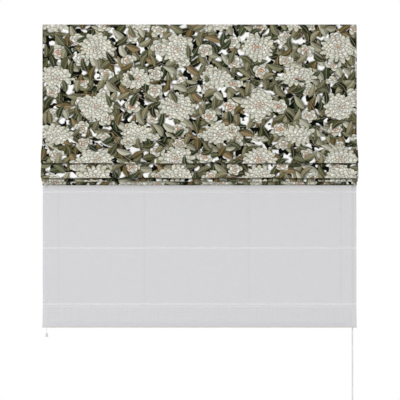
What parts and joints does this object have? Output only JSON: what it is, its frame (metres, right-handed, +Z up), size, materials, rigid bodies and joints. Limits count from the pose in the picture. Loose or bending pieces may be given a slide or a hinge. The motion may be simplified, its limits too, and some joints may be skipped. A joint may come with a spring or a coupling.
{
  "type": "roman blind",
  "caption": "Double roman blind: a floral printed cloth gathered in soft pleats and a sheer voile behind it on one headrail, raised by a pull cord and a bead chain.",
  "frame": {"origin": "middle of the outer wall brackets' four screw holes, on the wall's face", "axes": "+Z up, the printed front faces -Y, +X to the right of someone facing the blind"},
  "size_m": [1.307, 0.1125, 1.6073],
  "materials": {
    "rail_white": "satin white powder coat",
    "white_plastic": "moulded",
    "tape": "hook and loop",
    "zinc_steel": "zinc plated",
    "dark_plastic": "moulded",
    "rod_plastic": "glass fibre rod with clear rings",
    "chain_plastic": "moulded beads",
    "cord": "braided",
    "bell_plastic": "moulded",
    "printed_cotton": "floral print, olive, grey and cream",
    "voile": "sheer white weave",
    "bar_aluminium": "mill finish"
  },
  "bodies": {
    "rail": {"headrail": "rail_white", "end_cap_left": "white_plastic", "end_cap_right": "white_plastic", "hook_tape_front": "tape", "loop_tape_front": "tape", "hook_tape_sheer": "tape", "loop_tape_sheer": "tape", "bracket_left": "zinc_steel", "bracket_centre": "zinc_steel", "bracket_right": "zinc_steel", "front_cradle_1": "white_plastic", "front_cradle_2": "white_plastic", "front_cradle_3": "white_plastic", "front_cradle_4": "white_plastic", "sheer_cradle_1": "white_plastic", "sheer_cradle_2": "white_plastic", "sheer_cradle_3": "white_plastic", "sheer_cradle_4": "white_plastic", "chain_housing": "white_plastic", "bead_chain": "chain_plastic", "cord_unit": "white_plastic", "pull_cord": "cord", "front_lift_cords": "cord", "sheer_lift_cords": "cord", "front_fabric": "printed_cotton", "sheer_fabric": "voile"},
    "latch_left": {"latch_left": "dark_plastic"},
    "latch_centre": {"latch_centre": "dark_plastic"},
    "latch_right": {"latch_right": "dark_plastic"},
    "front_drive": {"front_shaft": "zinc_steel", "front_spool_1": "white_plastic", "front_spool_2": "white_plastic", "front_spool_3": "white_plastic", "front_spool_4": "white_plastic", "cord_reel": "white_plastic"},
    "sheer_drive": {"sheer_shaft": "zinc_steel", "sheer_spool_1": "white_plastic", "sheer_spool_2": "white_plastic", "sheer_spool_3": "white_plastic", "sheer_spool_4": "white_plastic", "chain_sprocket": "white_plastic"},
    "guide_pulley": {"guide_pulley": "white_plastic"},
    "pull_bell": {"cord_bell": "bell_plastic"},
    "front_rod_1": {"front_rod_1": "rod_plastic"},
    "front_stack": {"front_rod_2": "rod_plastic", "front_rod_3": "rod_plastic", "front_rod_4": "rod_plastic", "front_rod_5": "rod_plastic", "front_bar": "bar_aluminium"},
    "sheer_rod_1": {"sheer_rod_1": "rod_plastic"},
    "sheer_rod_2": {"sheer_rod_2": "rod_plastic"},
    "sheer_rod_3": {"sheer_rod_3": "rod_plastic"},
    "sheer_rod_4": {"sheer_rod_4": "rod_plastic"},
    "sheer_rod_5": {"sheer_rod_5": "rod_plastic"},
    "sheer_bar": {"sheer_bar": "bar_aluminium"}
  },
  "joints": [
    {"name": "front_lift", "type": "slide", "parent": "rail", "child": "front_stack", "axis": [0, 0, 1], "range_m": [-0.591, 0.38], "deforming": ["front_fabric", "front_lift_cords", "pull_cord"]},
    {"name": "front_rod_1_rise", "type": "slide", "parent": "rail", "child": "front_rod_1", "axis": [0, 0, 1], "range_m": [-0.2527, 0.1632]},
    {"name": "front_drive_turn", "type": "hinge", "parent": "rail", "child": "front_drive", "pos_m": [0, -0.0465, -0.008], "axis": [1, 0, 0], "range_deg": [-2410, 3765]},
    {"name": "guide_pulley_turn", "type": "hinge", "parent": "rail", "child": "guide_pulley", "pos_m": [-0.64, -0.02755, -0.008], "axis": [1, 0, 0], "range_deg": [-2410, 3765]},
    {"name": "bell_drop", "type": "slide", "parent": "rail", "child": "pull_bell", "axis": [0, 0, 1], "range_m": [-0.382, 0.593]},
    {"name": "sheer_lift", "type": "slide", "parent": "rail", "child": "sheer_bar", "axis": [0, 0, 1], "range_m": [0, 0.9269], "deforming": ["sheer_fabric", "sheer_lift_cords", "bead_chain"]},
    {"name": "sheer_rod_1_rise", "type": "slide", "parent": "rail", "child": "sheer_rod_1", "axis": [0, 0, 1], "range_m": [-0.002, 0.1502]},
    {"name": "sheer_rod_2_rise", "type": "slide", "parent": "rail", "child": "sheer_rod_2", "axis": [0, 0, 1], "range_m": [-0.002, 0.343]},
    {"name": "sheer_rod_3_rise", "type": "slide", "parent": "rail", "child": "sheer_rod_3", "axis": [0, 0, 1], "range_m": [-0.002, 0.5358]},
    {"name": "sheer_rod_4_rise", "type": "slide", "parent": "rail", "child": "sheer_rod_4", "axis": [0, 0, 1], "range_m": [-0.002, 0.7286]},
    {"name": "sheer_rod_5_rise", "type": "slide", "parent": "rail", "child": "sheer_rod_5", "axis": [0, 0, 1], "range_m": [-0.002, 0.9215]},
    {"name": "sheer_drive_turn", "type": "hinge", "parent": "rail", "child": "sheer_drive", "pos_m": [0, -0.0185, -0.008], "axis": [1, 0, 0], "range_deg": [-5900, 5]},
    {"name": "latch_left_turn", "type": "hinge", "parent": "rail", "child": "latch_left", "pos_m": [-0.48, -0.03375, 0.012], "axis": [0, 0, 1], "range_deg": [0, 90]},
    {"name": "latch_centre_turn", "type": "hinge", "parent": "rail", "child": "latch_centre", "pos_m": [0, -0.03375, 0.012], "axis": [0, 0, 1], "range_deg": [0, 90]},
    {"name": "latch_right_turn", "type": "hinge", "parent": "rail", "child": "latch_right", "pos_m": [0.48, -0.03375, 0.012], "axis": [0, 0, 1], "range_deg": [0, 90]}
  ],
  "couplings": [
    {"joint": "front_rod_1_rise", "follows": "front_lift", "ratio": 0.42413},
    {"joint": "front_drive_turn", "follows": "front_lift", "rad_per_m": -110.5},
    {"joint": "guide_pulley_turn", "follows": "front_lift", "rad_per_m": -110.5},
    {"joint": "bell_drop", "follows": "front_lift", "ratio": -1},
    {"joint": "sheer_rod_1_rise", "follows": "sheer_lift", "ratio": 0.15988},
    {"joint": "sheer_rod_2_rise", "follows": "sheer_lift", "ratio": 0.3679},
    {"joint": "sheer_rod_3_rise", "follows": "sheer_lift", "ratio": 0.57593},
    {"joint": "sheer_rod_4_rise", "follows": "sheer_lift", "ratio": 0.78395},
    {"joint": "sheer_rod_5_rise", "follows": "sheer_lift", "ratio": 0.99198},
    {"joint": "sheer_drive_turn", "follows": "sheer_lift", "rad_per_m": -110.5}
  ]
}
